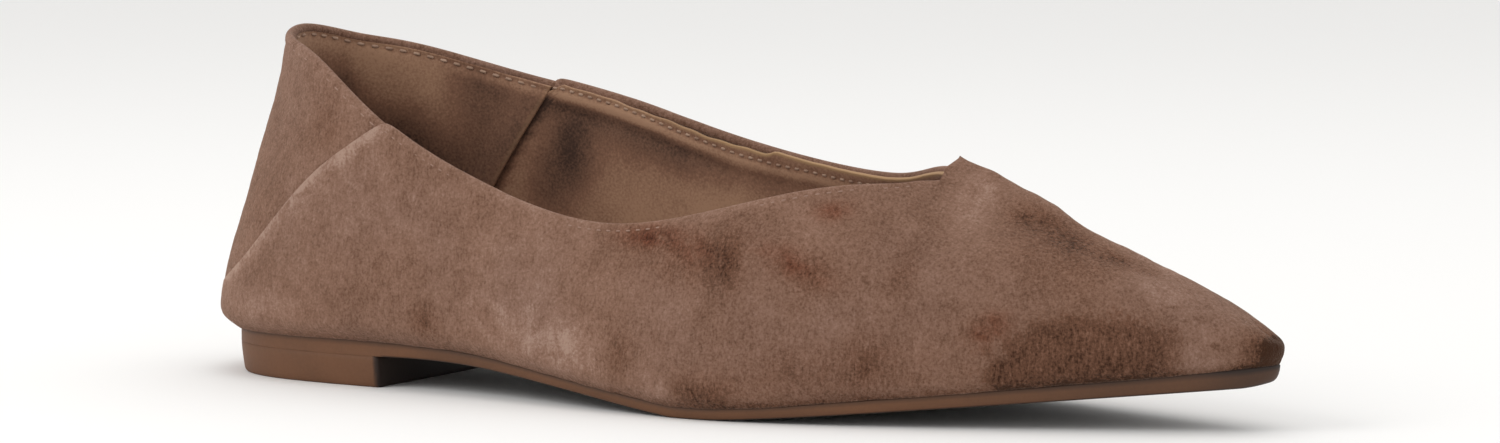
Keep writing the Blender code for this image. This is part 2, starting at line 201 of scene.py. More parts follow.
def set_inputs(node, inputs):
    """Gives a node's inputs their values, or links them to other nodes' outputs."""
    for name, value in inputs.items():
        if isinstance(value, bpy.types.NodeSocket):
            node.id_data.links.new(value, node.inputs[name])
        else:
            node.inputs[name].default_value = value


def add_node(material, kind, inputs=None, out=0, **settings):
    """Adds one shader node with its settings and inputs, and gives back one of its outputs."""
    node = material.node_tree.nodes.new("ShaderNode" + kind)
    for name, value in settings.items():
        setattr(node, name, value)
    set_inputs(node, inputs or {})
    return node.outputs[out]


# Moulded sole rubber: matt, with a fine mould grain and a little handling dust that lightens it unevenly
rubber = new_material("moulded_sole_rubber")
place = add_node(rubber, "TexCoord", out="Object")
dust = add_node(rubber, "TexNoise", {"Vector": place, "Scale": 1 / 0.018, "Detail": 3.0})
# mould grain is about 0.1 mm; drawn at 0.7 mm so that it shows
grain = add_node(rubber, "TexNoise", {"Vector": place, "Scale": 1 / 0.0007, "Detail": 2.0})
speck = add_node(rubber, "Math", {0: grain, 1: 0.35, 2: dust}, operation="MULTIPLY_ADD")
tint = add_node(rubber, "ValToRGB", {"Fac": speck})
stops = tint.node.color_ramp.elements
stops[0].position = 0.35
stops[0].color = linear("#5b3b25")
stops[1].color = linear("#704b32")
# this attribute darkens the rubber: the underside is darker tread, and the heel's breast, the top of the
# sole's edge and the toe have painted shade
tread_and_painted_shade = add_node(rubber, "Attribute", out="Fac", attribute_name="tread_and_painted_shade")
dark = add_node(rubber, "Mix", {0: tread_and_painted_shade, 6: tint, 7: linear("#2a1d16")}, out=2, data_type="RGBA")
dull = add_node(rubber, "MapRange", {"Value": dust, "To Min": 0.5, "To Max": 0.72})
pits = add_node(rubber, "Bump", {"Height": grain, "Strength": 0.25, "Distance": 0.0002})
set_inputs(rubber.node_tree.nodes["Principled BSDF"], {
    "Base Color": dark, "Roughness": dull, "Normal": pits, "IOR": 1.5, "Specular IOR Level": 0.35,
})

heel_rings = [np.column_stack([heel_ring(inset), np.full(HEEL_POINTS, z)]) for inset, z in HEEL_FACE]
heel_rows = heel_cap(heel_rings[0]) + heel_rings + heel_cap(heel_rings[-1])[::-1]
heel_points = np.array(heel_rows)
# painted shade on the breast, which lies in the shadow under the arch; the lower face is darker tread
tread_and_painted_shade = ease((heel_points[..., 0] - HEEL_BREAST + 1.6) / 0.8)
tread_and_painted_shade[-len(CAP_SHARES) - 1:] = 1.0
faces = grid_faces(len(heel_rows), HEEL_POINTS, around=True)
heel = add_piece("heel_block", heel_points, faces, rubber, {"tread_and_painted_shade": tread_and_painted_shade})
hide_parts("heel")

# Outsole
# A thin bendy sheet of the same rubber with an arch, a flat tread under the ball and a toe that springs up,
# glued under the lasted upper. Only its edge shows from the side, a little rounded at the floor.
GAP = 0.3
# underside along the foot: x, height, slope
UNDERSIDE = [
    (-10.0, 7.3, 0.0), (66.0, 7.3, 0.0), (90.0, 6.0, -0.11), (119.0, 2.5, -0.135), (137.8, 0.1, -0.12),
    (139.4, 0.0, 0.0), (144.0, 0.0, 0.0), (152.0, 0.3, 0.06), (172.0, 1.9, 0.092), (270.0, 10.7, 0.09),
]
SOLE_THICKNESS = [(60.0, 3.2), (105.0, 2.3), (165.0, 2.4), (220.0, 3.1), (262.0, 4.2)]
TIP_LIFT = 1.6          # how far the underside is rounded up at the very tip
TIP_BEND = 256.3        # where that rounding starts
TIP_RUN = 8.0           # and how long it is
# edge of the sheet: how far it stands in from the feather line, share of the thickness; it is straight over
# the heel block and rounder at the toe
SOLE_FACE = [
    (0.1, 1.0), (-0.15, 0.97), (-0.25, 0.88), (-0.2, 0.6), (-0.05, 0.32), (0.15, 0.14), (0.45, 0.03),
    (0.9, 0.0),
]


def underside(x):
    """Height of the sole's lower face: cubic pieces through rows of x, height and slope."""
    r = np.asarray(UNDERSIDE)
    i = np.clip(np.searchsorted(r[:, 0], x) - 1, 0, len(r) - 2)
    step = r[i + 1, 0] - r[i, 0]
    u = np.clip((x - r[i, 0]) / step, 0.0, 1.0)
    rise = u * u * (3.0 - 2.0 * u)
    bend = r[i, 2] * u * (1.0 - u) ** 2 + r[i + 1, 2] * u * u * (u - 1.0)
    return r[i, 1] * (1.0 - rise) + r[i + 1, 1] * rise + step * bend


def along(rows, x):
    """Straight reading between rows of x and value."""
    r = np.asarray(rows)
    return np.interp(x, r[:, 0], r[:, 1])


def feather(x):
    """Height of the line where the upper meets the sole."""
    return underside(x) + along(SOLE_THICKNESS, x) + GAP


def stations(*stretches):
    """Stations from the heel in even steps along stretches, each given as its end and its count of points."""
    parts = [np.zeros(1)]
    for end, count in stretches:
        parts.append(np.linspace(parts[-1][-1], end, count)[1:])
    return np.concatenate(parts)


sole_k = stations((2.0, 60), (13.0, 240), (TIP, 70))


def sole_loop():
    """Closed loop round the sheet at every station: down the lateral edge, across the underside, up the
    medial edge and back across the top."""
    edges = {}
    for side in (-1, 1):
        x = outline(sole_k, side)[:, :1]
        bow = ease((x - 54.0) / 10.0) * (1.0 + 0.9 * ease((x - 235.0) / 25.0))
        edges[side] = [sole_edge(sole_k, side, inset * bow - 0.1 * (1.0 - bow)) for inset, _ in SOLE_FACE]
    columns = []
    for (_, share), lateral, medial in zip(SOLE_FACE, edges[-1], edges[1]):
        meet = (lateral[-1] + medial[-1]) / 2.0
        lateral[-1] = meet
        medial[-1] = meet
        columns.append((lateral, share))
    for across in np.linspace(0.0, 1.0, 16)[1:-1]:
        columns.append((edges[-1][-1] * (1.0 - across) + edges[1][-1] * across, 0.0))
    for (_, share), medial in zip(SOLE_FACE[::-1], edges[1][::-1]):
        columns.append((medial, share))
    for across in np.linspace(1.0, 0.0, 6)[1:-1]:
        columns.append((edges[-1][0] * (1.0 - across) + edges[1][0] * across, 1.0))
    loops = []
    for p, s in columns:
        low = underside(p[:, 0]) + TIP_LIFT * np.clip((p[:, 0] - TIP_BEND) / TIP_RUN, 0.0, 1.0) ** 2
        loops.append(np.column_stack([p, low * (1.0 - s) + feather(p[:, 0]) * s]))
    return np.stack(loops, 1), np.array([s for _, s in columns])


sole_points, sole_share = sole_loop()
sole_x = sole_points[..., 0]
over_heel = 1.0 - ease((sole_x - HEEL_BREAST) / 2.0)
tread_and_painted_shade = ease(1.0 - sole_share / 0.12) * (1.0 - over_heel)
# painted shade: the top of the sole's edge, under the suede's overhang, and its front towards the toe, more
# at the tip
sole_painted_shade = 0.6 * ease((sole_share - 0.7) / 0.25) + 0.25 * ease((sole_x - 190.0) / 50.0)
tread_and_painted_shade = np.maximum(tread_and_painted_shade, sole_painted_shade + 0.35 * ease((sole_x - 246.0) / 14.0))
faces = grid_faces(*sole_points.shape[:2], around=True)
outsole = add_piece("outsole_sheet", sole_points, faces, rubber, {"tread_and_painted_shade": tread_and_painted_shade})
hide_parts("outsole")

# Insole
# A thin board covered with a sock of lining leather, laid in the shoe on the outsole. Its edge runs into
# the lining all round, and years of pressing leave it very slightly dished under the heel and the ball.
INSOLE = 2.0
INSOLE_FRONT = 14.2
# dished places: x, y, length, width, depth
INSOLE_DISHES = [(30.0, 0.0, 26.0, 18.0, 0.35), (146.0, -2.0, 34.0, 24.0, 0.4)]

# Lining leather: smooth glazed pigskin look, fine grain, a little paler where it is rubbed; a raw cut is tan
leather = new_material("lining_leather")
place = add_node(leather, "TexCoord", out="Object")
cloud = add_node(leather, "TexNoise", {"Vector": place, "Scale": 1 / 0.022, "Detail": 4.0})
# leather pores are about 0.15 mm apart; drawn at 0.6 mm so that they show
pore = add_node(leather, "TexNoise", {"Vector": place, "Scale": 1 / 0.0006, "Detail": 3.0})
mottle = add_node(leather, "Math", {0: pore, 1: 0.7, 2: cloud}, operation="MULTIPLY_ADD")
# shade attribute: painted shade under the topline, in the heel cup, grooves and troughs; below zero, painted
# light and rubbing
dim = add_node(leather, "Attribute", out="Fac", attribute_name="shade")
tone_and_painted_light = add_node(leather, "Math", {0: dim, 1: -0.55, 2: mottle}, operation="MULTIPLY_ADD")
share = add_node(leather, "MapRange", {"Value": tone_and_painted_light, "From Min": 0.1, "From Max": 1.1})
tint = add_node(leather, "ValToRGB", {"Fac": share})
stops = tint.node.color_ramp.elements
stops[0].position = 0.1
stops[0].color = linear("#3f2a1f")
stops[1].position = 0.62
stops[1].color = linear("#835f4a")
stops.new(1.0).color = linear("#a98469")
raw = add_node(leather, "Attribute", out="Fac", attribute_name="raw")
cut = add_node(leather, "Mix", {0: raw, 6: tint, 7: linear("#a88660")}, out=2, data_type="RGBA")
pits = add_node(leather, "Bump", {"Height": pore, "Strength": 0.3, "Distance": 0.00015})
set_inputs(leather.node_tree.nodes["Principled BSDF"], {
    "Base Color": cut, "Normal": pits, "Roughness": 0.78, "IOR": 1.48, "Specular IOR Level": 0.3,
    "Sheen Weight": 0.12, "Sheen Roughness": 0.5,
})

insole_k = stations((2.0, 40), (13.0, 140), (INSOLE_FRONT, 20))


def bell(off):
    """Bell curve exp(-off^2)."""
    return np.exp(-off ** 2)


def insole_face(tuck_share, inset, lift, across=25):
    """Sheet between the two inset edges: height is the feather line plus lift, less the dished places."""
    lateral, medial = [sole_edge(insole_k, side, inset, tuck_share) for side in (-1, 1)]
    share = np.linspace(0.0, 1.0, across)[None, :, None]
    plan = lateral[:, None] * (1.0 - share) + medial[:, None] * share
    z = feather(plan[..., 0]) + lift
    if lift > 0.0:
        for x, y, length, width, depth in INSOLE_DISHES:
            z = z - depth * bell((plan[..., 0] - x) / length) * bell((plan[..., 1] - y) / width)
    return np.concatenate([plan, z[..., None]], -1)


insole_rows = [insole_face(1.0, 2.5, 0.0), insole_face(0.45, 2.5, 1.2), insole_face(0.32, 2.55, INSOLE)]
rows, across = insole_rows[0].shape[:2]
rim = np.stack([np.concatenate([f[:, 0], f[-1, 1:-1], f[::-1, -1]]) for f in insole_rows])
top_faces = grid_faces(rows, across)
low_faces = grid_faces(rows, across, first=rows * across)
rim_faces = grid_faces(3, rim.shape[1], first=2 * rows * across)
insole_points = np.concatenate([part.reshape(-1, 3) for part in (insole_rows[2], insole_rows[0], rim)])
faces = np.concatenate([top_faces, low_faces, rim_faces])
insole = add_piece("insole_sock", insole_points, faces, leather)
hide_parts("insole")

# Front and back lining
# Two cuts of thin lining leather sewn to the suede along the topline. The front one ends in a raw cut edge
# that stays under the suede's fold. The back one is laid over it with a slanted edge at each side.
PEAK = 11               # station of the throat's peak
CLOSES_FROM = 5         # station from which the last begins to close over the foot
SEAM_TOP = 3.90         # station where the lap seam reaches the lateral topline
SEAM_TOP_MEDIAL = 4.20  # and the medial one
CORNER_RISE = 1.3       # how far the vamp panel's corner stands over the back panel's edge
THROAT_RISE = 1.4       # how far the medial edge stands over the lateral one beside the peak
PEAK_RISE = 0.9         # how far the suede stands up round the peak
SLIT = 4.4              # how far the lateral edge lies under the peak where the slit ends
# front lining: station, how far its raw edge and its stitches lie under the topline
RAW_EDGE = np.array([
    (4.16, 5.0, 2.2), (4.3, 1.2, 2.3), (4.8, 1.5, 2.5), (5.4, 2.0, 3.5), (6.05, 2.05, 3.9), (6.38, 1.5, 3.6),
    (6.46, 0.3, 3.5), (6.8, 0.5, 2.9), (7.0, 0.3, 2.9), (10.4, 0.3, 2.6), (11.0, 0.0, 2.6),
])
BACK_EDGE = (1.3, 2.4)  # the same for the back lining, whose edge is tucked under the suede's roll
LINING_LEAN = 1.25      # stations that the lining's seam leans back from the topline to the foot
LINING_UNDER = 0.28     # stations that the front lining reaches under the back one
STATION_RUN = 22.0      # millimetres between two stations at that seam
SEAM_RUN = 60.0         # length of that seam
TACK_PITCH = 4.4        # how far apart it is tacked; the painted shadow beside the back lining's edge widens and narrows at that pitch
OUTSIDE_ROW = 2.1       # the stitches outside
TURN = [(0.0, 4.4), (60.0, 4.8), (140.0, 4.0), (215.0, 3.6), (264.0, 3.4)]
TURN_START = math.radians(28.0)
TURN_SHARE = 0.15
# topline from the heel to the throat's peak: lateral x, y, z, medial x, y, z
TOPLINE = [
    (14.2, 1.0, 81.4, 14.2, 1.0, 81.4),
    (17.2, -9.8, 80.2, 16.6, 11.8, 79.9),
    (24.0, -17.0, 78.2, 22.5, 18.4, 78.1),
    (37.0, -24.0, 73.2, 36.0, 24.8, 75.3),
    (59.5, -28.6, 58.6, 62.0, 29.8, 68.8),
    (88.7, -30.9, 46.9, 90.0, 31.0, 63.2),
    (116.0, -31.9, 41.3, 115.5, 30.8, 56.6),
    (140.0, -30.5, 44.3, 142.0, 29.3, 51.4),
    (160.0, -26.3, 49.2, 162.0, 24.4, 50.2),
    (174.0, -18.6, 51.2, 174.0, 18.4, 51.5),
    (184.3, -8.8, 51.8, 184.0, 9.0, 52.2),
    (188.6, 0.2, 55.5, 188.6, 0.2, 55.5),
]
# ridge of the vamp from the throat's peak to the toe: x, y, z
RIDGE = [(188.6, 0.2, 55.5), (212.5, 0.6, 44.0), (238.0, 1.2, 33.8), (253.0, 1.8, 26.6), (260.6, 2.1, 20.8)]
# where the last's arcs end between the quarter and the throat's peak: lateral x, y, z, medial x, y, z
CLOSING = [
    (88.7, -30.9, 46.9, 90.0, 31.0, 63.2),
    (113.0, -25.0, 58.0, 115.4, 30.4, 57.4),
    (135.0, -13.0, 69.8, 139.0, 23.0, 59.0),
    (154.0, -3.6, 74.0, 156.0, 9.6, 66.0),
    (168.0, 0.0, 68.0, 168.4, 1.8, 66.0),
    (178.6, 0.2, 60.3, 178.6, 0.4, 60.2),
]
# arc of each wall section: upright share at its foot, how far its top leaves outwards and downwards
SECTION = [
    (0.18, 0.24, 0.36), (0.19, 0.25, 0.36), (0.22, 0.25, 0.35), (0.32, 0.25, 0.34), (0.42, 0.28, 0.33),
    (0.42, 0.30, 0.32), (0.42, 0.32, 0.30), (0.44, 0.36, 0.28), (0.47, 0.42, 0.25), (0.50, 0.46, 0.22),
    (0.53, 0.50, 0.22), (0.55, 0.50, 0.26), (0.58, 0.56, 0.14), (0.58, 0.58, 0.12), (0.54, 0.55, 0.16),
    (0.45, 0.45, 0.42),
]
TOP_RING = ring(TOPLINE)
CUT_STATIONS = np.linspace(CLOSES_FROM, PEAK, 241)


def arc_end(k, side):
    """Where the arc over station k would end on a closed last: the topline behind, the ridge in front."""
    rear = spline(TOP_RING, PEAK + side * np.minimum(k, CLOSES_FROM))
    rows = np.asarray(CLOSING)
    at = np.clip(k - CLOSES_FROM, 0.0, TIP - CLOSES_FROM)
    lateral = spline(np.vstack([rows[:, :3], RIDGE]), at)
    medial = spline(np.vstack([rows[:, 3:], RIDGE]), at)
    front = np.where((side < 0)[..., None], lateral, medial)
    front = np.where((k < PEAK)[..., None], front, (lateral + medial) / 2.0)
    return np.where((k < CLOSES_FROM)[..., None], rear, front)


def topline_cuts(side):
    """Share of each arc's width, and the height, at which it crosses the topline."""
    walk = np.linspace(CLOSES_FROM - 1.0, PEAK, 14001)
    edge = spline(TOP_RING, PEAK + side * walk)
    o = outline(CUT_STATIONS, side)[:, :2]
    d = arc_end(CUT_STATIONS, np.full_like(CUT_STATIONS, side))[:, :2] - o
    off = (edge[None, :, 0] - o[:, :1]) * d[:, 1:] - (edge[None, :, 1] - o[:, 1:]) * d[:, :1]
    far = np.abs(walk[None] - CUT_STATIONS[:, None]) > 2.0
    near = np.argmin(np.abs(off) + 1e3 * far, axis=1)
    share = np.einsum("ij,ij->i", edge[near, :2] - o, d) / np.einsum("ij,ij->i", d, d)
    share[[0, -1]] = 1.0
    return np.minimum(share, 1.0), edge[near, 2]


CUTS = {side: topline_cuts(side) for side in (-1, 1)}


def wall(k, v, side):
    """Outer face of the upper at station k and height share v: a quarter turn up from the sole to the widest
    line, then a cubic arc that is cut off where it crosses the topline."""
    o = outline(k, side)
    turn = along(TURN, o[..., 0])
    a = TURN_START + np.clip(v / TURN_SHARE, 0.0, 1.0) * (math.pi / 2.0 - TURN_START)
    inset = o[..., 2] * (1.0 - np.sin(a)) / (1.0 - math.sin(TURN_START))
    rise = turn * (1.0 - np.cos(a) / math.cos(TURN_START))
    foot = feather(o[..., 0])
    level = o[..., :2] - outward(k, side) * inset[..., None]
    low = np.concatenate([level, (foot + rise)[..., None]], -1)
    shape = spline(SECTION, k)
    start = np.concatenate([o[..., :2], (foot + turn)[..., None]], -1)
    top = arc_end(k, side)
    cut = [[np.interp(k, CUT_STATIONS, column) for column in CUTS[one]] for one in (-1, 1)]
    share, height = np.where(side < 0, *cut)
    height = np.where((k < CLOSES_FROM) | (k > PEAK), top[..., 2], height)
    below = np.zeros_like(share)
    above = np.ones_like(share)
    for _ in range(40):
        end = (below + above) / 2.0
        short = 3.0 * (1.0 - end) * end * end * (1.0 - shape[..., 1]) + end ** 3 < share
        below = np.where(short, end, below)
        above = np.where(short, above, end)
    end = (below + above) / 2.0
    early = 3.0 * (1.0 - end) ** 2 * end * shape[..., 0]
    late = 3.0 * (1.0 - end) * end ** 2 * (1.0 - shape[..., 2])
    top[..., 2] = start[..., 2] + (height - start[..., 2]) / (early + late + end ** 3)
    reach = start - top
    first = start.copy()
    first[..., 2] -= reach[..., 2] * shape[..., 0]
    second = top.copy()
    second[..., :2] += reach[..., :2] * shape[..., 1:2]
    second[..., 2] += reach[..., 2] * shape[..., 2]
    t = (np.clip((v - TURN_SHARE) / (1.0 - TURN_SHARE), 0.0, 1.0) * end)[..., None]
    s = 1.0 - t
    high = s ** 3 * start + 3.0 * s * s * t * first + 3.0 * s * t * t * second + t ** 3 * top
    return np.where((v < TURN_SHARE)[..., None], low, high)


def wall_and_normal(k, v, side):
    """Points of the wall and unit normals out of the shoe; on the ridge they are square to the ridge."""
    e = 0.004
    dk = wall(k + e, v, side) - wall(k - e, v, side)
    dv = wall(k, np.minimum(v + e, 1.0), side) - wall(k, np.maximum(v - e, 0.0), side)
    n = unit(np.cross(dk, dv) * -side[..., None])
    run = unit(arc_end(k + 0.01, side) - arc_end(np.maximum(k - 0.01, PEAK), side))
    up = unit(np.array([0.0, 0.0, 1.0]) - run * run[..., 2:])
    ridge = (k >= PEAK - 1e-6) & (v > 0.9995)
    return wall(k, v, side), np.where(ridge[..., None], up, n)


def seam_home(side):
    """Station where the lap seam reaches the topline on that side."""
    return np.where(side < 0, SEAM_TOP, SEAM_TOP_MEDIAL)


def edge_lift(k, v, side):
    """Rise of the front pieces' edge at the notch, in the throat and round its peak, less down the wall."""
    corner = CORNER_RISE * np.clip(1.0 - (k - seam_home(side)) / 1.22, 0.0, 1.0)
    throat = THROAT_RISE * ease((k - 8.0) / 1.8) * ease((PEAK - k) / 0.2) * (side > 0)
    peak = PEAK_RISE * bell((k - PEAK + 0.1) / 0.35)
    return (corner + throat + peak) * np.clip((v - 0.8) / 0.2, 0.0, 1.0)


def slit_drop(k, side):
    """Millimetres of wall cut off the lateral edge by the peak, where the slit has a short upright end."""
    return SLIT * np.clip((k - 10.3) / 0.6, 0.0, 1.0) ** 2.4 * ease((PEAK - 0.1 - k) / 0.02) * (side < 0)


def climb(k, side, v=1.0):
    """Millimetres of wall for a full step of height share, measured just under v."""
    v = np.full_like(k, v)
    return np.linalg.norm(wall(k, v, side) - wall(k, v - 0.01, side), axis=-1) / 0.01


def rows_under(k, top, side, close, count):
    """Height shares of every column's rows: some at given millimetres under its top edge, then even steps
    down to the foot."""
    near = top - np.asarray(close)[:, None] / climb(k, side, top)
    return np.concatenate([near, np.linspace(1.0, 0.0, count + 1)[1:, None] * near[-1]])


def sheet(points, normals, near, far, edge, rounding):
    """Two faces of a thin sheet that lies near to far under the wall. Towards a free edge both run into the
    sheet's middle as a half round: half * sqrt(1 - (1 - edge / rounding)^2)."""
    fall = np.sqrt(1.0 - (1.0 - np.clip(edge / rounding, 0.0, 1.0)) ** 2)
    half = (far - near) / 2.0 * fall
    centre = (far + near) / 2.0
    return points - normals * (centre - half)[..., None], points - normals * (centre + half)[..., None]


def both_sides(k):
    """Columns from the lateral end round to the medial end, with the side of each."""
    return np.concatenate([k, k[::-1]]), np.concatenate([-np.ones_like(k), np.ones_like(k)])


def lining_seam(v, side):
    """Station of the back lining's slanted edge at height share v."""
    return seam_home(side) - LINING_LEAN * (1.0 - v)


EDGE_ROWS = [0.0, 0.05, 0.15, 0.3, 0.5, 0.8, 1.2, 1.7, 2.4, 3.2, 4.2, 5.4]


def front_lining():
    """Grid of the front lining: columns lean with the back lining's edge and straighten towards the toe; the
    top row follows the raw edge and closes on the ridge past the throat."""
    t, side = both_sides(np.linspace(0.0, 1.0, 260))
    home = seam_home(side) - LINING_UNDER
    k = home + (TIP - home) * t
    ahead = np.minimum(seam_home(side) - SEAM_TOP_MEDIAL, 0.0) * (k < 6.0)
    low = np.interp(k - ahead, RAW_EDGE[:, 0], RAW_EDGE[:, 1])
    low = low * (1.0 + 0.08 * np.sin(9.0 * k) + 0.05 * np.sin(23.0 * k + 1.0)) + slit_drop(k, side)
    top = 1.0 - low / climb(k, side)
    v = rows_under(k, top, side, EDGE_ROWS, 46)
    side = np.broadcast_to(side, v.shape)
    lean = LINING_LEAN * (1.0 - v) * np.clip((7.0 - k) / (7.0 - home), 0.0, 1.0)
    k = np.maximum(k - lean, 0.02)
    p, n = wall_and_normal(k, v, side)
    p[..., 2] += edge_lift(k, v, side)
    from_peak = np.linalg.norm(p - np.array(RIDGE[0]), axis=-1)
    from_top = np.where(k < PEAK, (top - v) * climb(k, side), from_peak)
    under = from_top + low
    edge = np.minimum(from_top, np.minimum(v * 50.0, (t * (TIP - home))[None] * 20.0))
    sewn = np.interp(k, RAW_EDGE[:, 0], RAW_EDGE[:, 2])
    below = under - sewn
    groove = bell(below / 0.6) * ease((PEAK - k) / 0.6)
    bench = 1.0 - ease((below - 1.6) / 3.2)
    hollow = bell((below - 4.4) / 1.9) * ease((8.0 - k) / 3.4) * ease((k - seam_home(side) + 0.1) / 0.3)
    trough = bell((k - seam_home(side) - 0.28 + 0.65 * (1.0 - v)) / 0.27)
    trough = trough * ease((0.93 - v) / 0.1) * ease((v - 0.25) / 0.45)
    band = bell((below - 1.5) / 1.2) * ease((9.5 - k) / 3.0)
    far = 2.2 + 0.6 * bench - 0.2 * groove - 0.35 * hollow - 0.6 * trough
    outer, inner = sheet(p, n, np.minimum(1.35 + 0.5 * bench, far - 0.5), far, edge, 0.22)
    raw = ease(1.0 - (from_top - 0.45) / 0.5) * (k < PEAK) * (0.2 + 0.65 * ease((k - 4.8) / 1.4))
    deep_painted_shade = 1.3 * np.exp(-np.maximum(below - 3.0, 0.0) / 9.0) * ease((below - 1.5) / 2.5)
    deep_painted_shade = deep_painted_shade * (1.0 - 0.75 * ease((k - 4.8) / 1.6))
    painted_light_low = (0.1 + 0.5 * ease((k - 4.2) / 0.8)) * ease((below - 5.0) / 10.0) * (1.0 - trough)
    past_seam = np.maximum(k - lining_seam(v, side), 0.0) * STATION_RUN
    painted_shadow_width = 1.4 + 0.5 * np.sin(2.0 * math.pi * (1.0 - v) * SEAM_RUN / TACK_PITCH)
    # painted shade in the trough, under the topline's fold and in the groove under the stitches; painted
    # light low in the front; the band under the stitches is paler from rubbing
    shade = np.maximum(1.12 * trough, deep_painted_shade) + 0.3 * groove - 0.5 * band - painted_light_low
    # painted shadow on the front lining beside the back lining's slanted edge, ragged at the tacking pitch
    shade = shade + 0.8 * bell(past_seam / painted_shadow_width)
    return outer, inner, raw, shade


def back_lining():
    """Grid of the back lining, from its lateral edge round the heel to its medial one. Its slanted edges
    stand off the front lining."""
    t, side = both_sides(1.0 - np.linspace(0.0, 1.0, 130) ** 1.6)
    top = 1.0 - BACK_EDGE[0] / climb(4.0 * t, side)
    v = rows_under(4.0 * t, top, side, EDGE_ROWS, 40)
    side = np.broadcast_to(side, v.shape)
    k = lining_seam(v, side) * t
    p, n = wall_and_normal(k, v, side)
    from_top = (top - v) * climb(k, side)
    under = from_top + BACK_EDGE[0]
    to_seam = (1.0 - t)[None] * lining_seam(v, side) * STATION_RUN
    edge = np.minimum(np.minimum(from_top, to_seam), v * 50.0)
    lift = (0.5 + 0.75 * ease((0.9 - v) / 0.4)) * (1.0 - ease(to_seam / 9.0))
    groove = bell((under - BACK_EDGE[1]) / 0.6)
    far = 2.3 + 0.15 * (1.0 - ease((under - 4.0) / 6.0)) + lift - 0.2 * groove
    outer, inner = sheet(p, n, 1.75 + lift, far, edge, 0.22)
    raw = 0.15 * ease(1.0 - (to_seam - 0.5) / 0.9) * ease((v - 0.4) / 0.3)
    near_seam = ease((k - 2.95) / 0.65)
    away = ease((k - 1.2) / 1.2)
    # painted shade: darker with depth in the heel cup and down the wall beside the seam, and in the groove
    # under the edge; painted light elsewhere away from the seam
    cup_painted_shade = 1.35 * ease((under - 2.0 - 6.0 * away) / (12.0 + 8.0 * away))
    deep_painted_shade = cup_painted_shade * (1.0 - near_seam) + 0.75 * ease((under - 3.0) / 3.0) * near_seam
    deep_painted_shade = deep_painted_shade * (0.6 + 0.4 * ease(0.5 + side * k / 1.6)) * (1.0 - 0.3 * ease((under - 24.0) / 16.0))
    shade = 0.3 * groove + deep_painted_shade - 0.3 * (1.0 - near_seam)
    return outer, inner, raw, shade


for name, (outer, inner, raw, shade) in (("front_lining", front_lining()), ("back_lining", back_lining())):
    rows, columns = outer.shape[:2]
    faces = np.concatenate([grid_faces(rows, columns), grid_faces(rows, columns, first=rows * columns)])
    values = {"raw": np.concatenate([raw, raw]), "shade": np.concatenate([shade, shade])}
    lining = add_piece(name, np.concatenate([outer, inner]), faces, leather, values)
    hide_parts("upper")

# Back panel
# A high V-shaped cut of suede round the heel, folded over at the topline and sewn under the edge of the
# vamp panel along a slanted seam on each side.
SEAM_BACK = 0.25        # height share at which the two lap seams meet on the heel's centre line
SEAM_BOW = 0.375        # how the seam bows from the heel's back to the topline
LAP = 0.5               # step from the vamp panel down to the back panel
ROLL = [0.0, 0.05, 0.15, 0.3, 0.5, 0.75, 1.0, 1.4, 1.8, 2.2, 2.7]     # rows of points round the fold
FOLD = [*ROLL, 3.3, 4.0]
FOLD_INSIDE = [*ROLL, 3.4, 5.0]
# tone patches left by brushing, handling and dirt, and painted shade on the toe tip: side, x, z, length,
# height, tilt, tone
PATCHES = [
    (-1, 129.7, 38.6, 8.0, 2.4, 0, -0.6),
    (-1, 142.0, 34.5, 14.0, 6.0, 0, -0.6),
    (-1, 151.5, 34.4, 3.4, 6.5, 8, -0.45),
    (-1, 167.0, 33.8, 9.0, 3.4, -20, -0.55),
    (-1, 189.0, 33.0, 3.0, 4.4, 0, -0.5),
    (-1, 184.0, 15.0, 5.0, 5.5, 0, -0.35),
    (-1, 208.5, 22.0, 3.6, 2.4, 25, -0.8),
    (-1, 171.0, 45.5, 3.6, 1.8, 0, -0.4),
    (-1, 70.5, 17.0, 3.4, 3.6, 0, -0.6),
    (-1, 126.0, 13.5, 3.2, 4.6, 0, -0.4),
    (-1, 146.5, 6.0, 8.5, 3.6, 0, -0.7),       # smudge at the ball
    (-1, 109.7, 14.0, 10.0, 6.5, -15, 0.9),    # worn pale at the waist
    (-1, 136.6, 7.0, 4.4, 2.6, -20, 0.8),
    (-1, 21.6, 17.9, 9.0, 3.4, 0, 0.5),
    (-1, 196.5, 46.5, 3.4, 7.0, 30, 0.5),
    (-1, 241.8, 29.0, 9.0, 3.0, -28, 0.5),
    (-1, 93.0, 32.6, 26.0, 12.0, 0, 0.1),
    (-1, 90.0, 17.5, 13.0, 5.0, -10, 0.4),
    (-1, 56.0, 40.0, 15.0, 12.0, 0, 0.2),
    (-1, 14.0, 50.0, 10.0, 24.0, 0, -0.15),
    (-1, 40.0, 60.0, 5.0, 8.0, -20, -0.3),
    (-1, 218.0, 38.0, 16.0, 6.0, -25, -0.4),
    (-1, 178.0, 12.0, 24.0, 6.0, 5, -0.3),
    (-1, 250.0, 16.0, 6.0, 7.0, 0, 0.6),       # beside the toe's brushed place
    (-1, 265.0, 13.0, 5.4, 10.0, 0, -1.7),     # painted shade on the toe tip, which turns away from the light; the next row is the same on the medial side
    (1, 265.0, 13.0, 5.4, 10.0, 0, -1.7),
    (1, 226.0, 16.0, 14.0, 7.0, 0, -0.7),
    (1, 120.0, 34.0, 12.0, 6.0, 10, -0.6),
    (1, 158.0, 20.0, 9.0, 7.0, 0, -0.45),
    (1, 90.0, 16.0, 14.0, 6.0, -10, 0.7),
    (1, 188.0, 36.0, 8.0, 8.0, 30, 0.4),
    (1, 40.0, 30.0, 12.0, 9.0, 20, -0.35),
]
